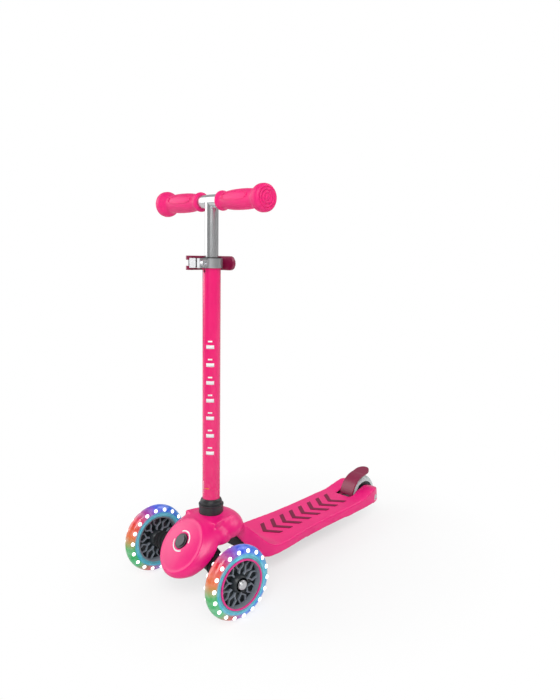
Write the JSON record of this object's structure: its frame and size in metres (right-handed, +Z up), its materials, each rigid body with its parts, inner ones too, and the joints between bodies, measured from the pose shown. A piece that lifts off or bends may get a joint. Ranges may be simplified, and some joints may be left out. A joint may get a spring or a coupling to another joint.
{
  "type": "kick scooter",
  "caption": "Child's lean-to-steer kick scooter: low deck with a moulded head, spoked front wheels on a pivoting truck, height-adjustable T-bar with quick clamp, and foot brake at the rear.",
  "frame": {"origin": "on the ground, in the middle of the length and width, with the bar at its lowest", "axes": "+Z up, -Y the way it rides, +X the rider's left"},
  "size_m": [0.275, 0.5284, 0.6729],
  "materials": {
    "pink_moulding": "satin moulded colour",
    "pink_paint": "gloss paint",
    "pink_rubber": "soft satin",
    "pink_trim": "gloss",
    "burgundy_plastic": "satin",
    "burgundy_rubber": "matt",
    "black_plastic": "fine grain",
    "black_ring": "satin",
    "white_nylon": "smooth",
    "white_inlay": "smooth",
    "silver_tube": "satin anodised",
    "clamp_alloy": "polished casting",
    "steel": "zinc plated",
    "spring_steel": "drawn wire",
    "bearing_steel": "polished",
    "clear_tyre": "clear cast urethane",
    "milky_tyre": "translucent cast urethane",
    "light_lens": "lit lens",
    "wheel_grey": "satin",
    "wheel_dark": "satin"
  },
  "bodies": {
    "deck": {"deck_shell": "pink_moulding", "lock_arcs": "white_inlay", "grip_strips": "burgundy_rubber", "underframe": "black_plastic", "underframe_screws": "steel", "button_bezel": "black_ring", "collar": "black_ring", "column": "pink_paint", "guide_bush": "black_ring", "clamp_band": "clamp_alloy", "clamp_bolt": "steel", "clamp_nut": "steel", "cam_washer": "clamp_alloy", "lever_barrel": "steel", "kingpin": "steel", "thrust_washer": "white_nylon", "kingpin_nut": "steel", "centring_springs": "spring_steel", "lock_spring": "spring_steel", "rear_axle": "steel", "rear_axle_nut": "steel", "rear_spacers": "black_ring", "brake_pin": "steel", "brake_spring": "spring_steel"},
    "t_bar": {"bar_tube": "silver_tube", "crossbar": "silver_tube", "bar_foot_bush": "black_ring", "snap_clip": "spring_steel", "grip_left": "pink_rubber", "grip_right": "pink_rubber"},
    "lever": {"clamp_lever": "burgundy_plastic"},
    "truck": {"axle_carrier": "black_plastic", "truck_bush": "white_nylon", "front_axle_left": "steel", "front_axle_right": "steel", "axle_washer_left": "steel", "axle_washer_right": "steel"},
    "rear_wheel": {"rear_tyre": "milky_tyre", "rear_core": "wheel_dark", "rear_bearings": "bearing_steel", "rear_bearing_spacer": "steel"},
    "brake": {"brake_fender": "burgundy_plastic", "brake_pad": "steel"},
    "lock_button": {"lock_button": "black_plastic", "lock_dog": "steel"},
    "front_wheel_left": {"front_tyre_left": "clear_tyre", "light_beads_left": "light_lens", "front_core_left": "wheel_grey", "trim_ring_left": "pink_trim", "front_bearings_left": "bearing_steel", "front_bearing_spacer_left": "steel"},
    "front_wheel_right": {"front_tyre_right": "clear_tyre", "light_beads_right": "light_lens", "front_core_right": "wheel_grey", "trim_ring_right": "pink_trim", "front_bearings_right": "bearing_steel", "front_bearing_spacer_right": "steel"}
  },
  "joints": [
    {"name": "steering", "type": "hinge", "parent": "deck", "child": "truck", "pos_m": [0, -0.22485, 0.1005], "axis": [0, -0.7431, 0.6691], "range_deg": [-15, 15], "stiffness_Nm_per_rad": 25, "deforming": ["centring_springs"]},
    {"name": "front_wheel_left_spin", "type": "hinge", "parent": "truck", "child": "front_wheel_left", "pos_m": [0.117, -0.20375, 0.0605], "axis": [1, 0, 0], "continuous": true},
    {"name": "front_wheel_right_spin", "type": "hinge", "parent": "truck", "child": "front_wheel_right", "pos_m": [-0.117, -0.20375, 0.0605], "axis": [1, 0, 0], "continuous": true},
    {"name": "rear_wheel_spin", "type": "hinge", "parent": "deck", "child": "rear_wheel", "pos_m": [0, 0.22725, 0.037], "axis": [1, 0, 0], "continuous": true},
    {"name": "bar_height", "type": "slide", "parent": "deck", "child": "t_bar", "axis": [0, 0.0981, 0.9952], "range_m": [0, 0.1], "deforming": ["snap_clip"]},
    {"name": "clamp_lever_swing", "type": "hinge", "parent": "deck", "child": "lever", "pos_m": [-0.0259, -0.14212, 0.55455], "axis": [0, 0.0981, 0.9952], "range_deg": [0, 150]},
    {"name": "brake_press", "type": "hinge", "parent": "deck", "child": "brake", "pos_m": [0, 0.18225, 0.041], "axis": [-1, 0, 0], "range_deg": [0, 2.5], "stiffness_Nm_per_rad": 0.5, "springref_deg": -20.05, "deforming": ["brake_spring"]},
    {"name": "lock_press", "type": "slide", "parent": "deck", "child": "lock_button", "axis": [0, 0.7431, -0.6691], "range_m": [0, 0.004], "stiffness_N_per_m": 150, "springref_m": -0.004, "deforming": ["lock_spring"]}
  ]
}
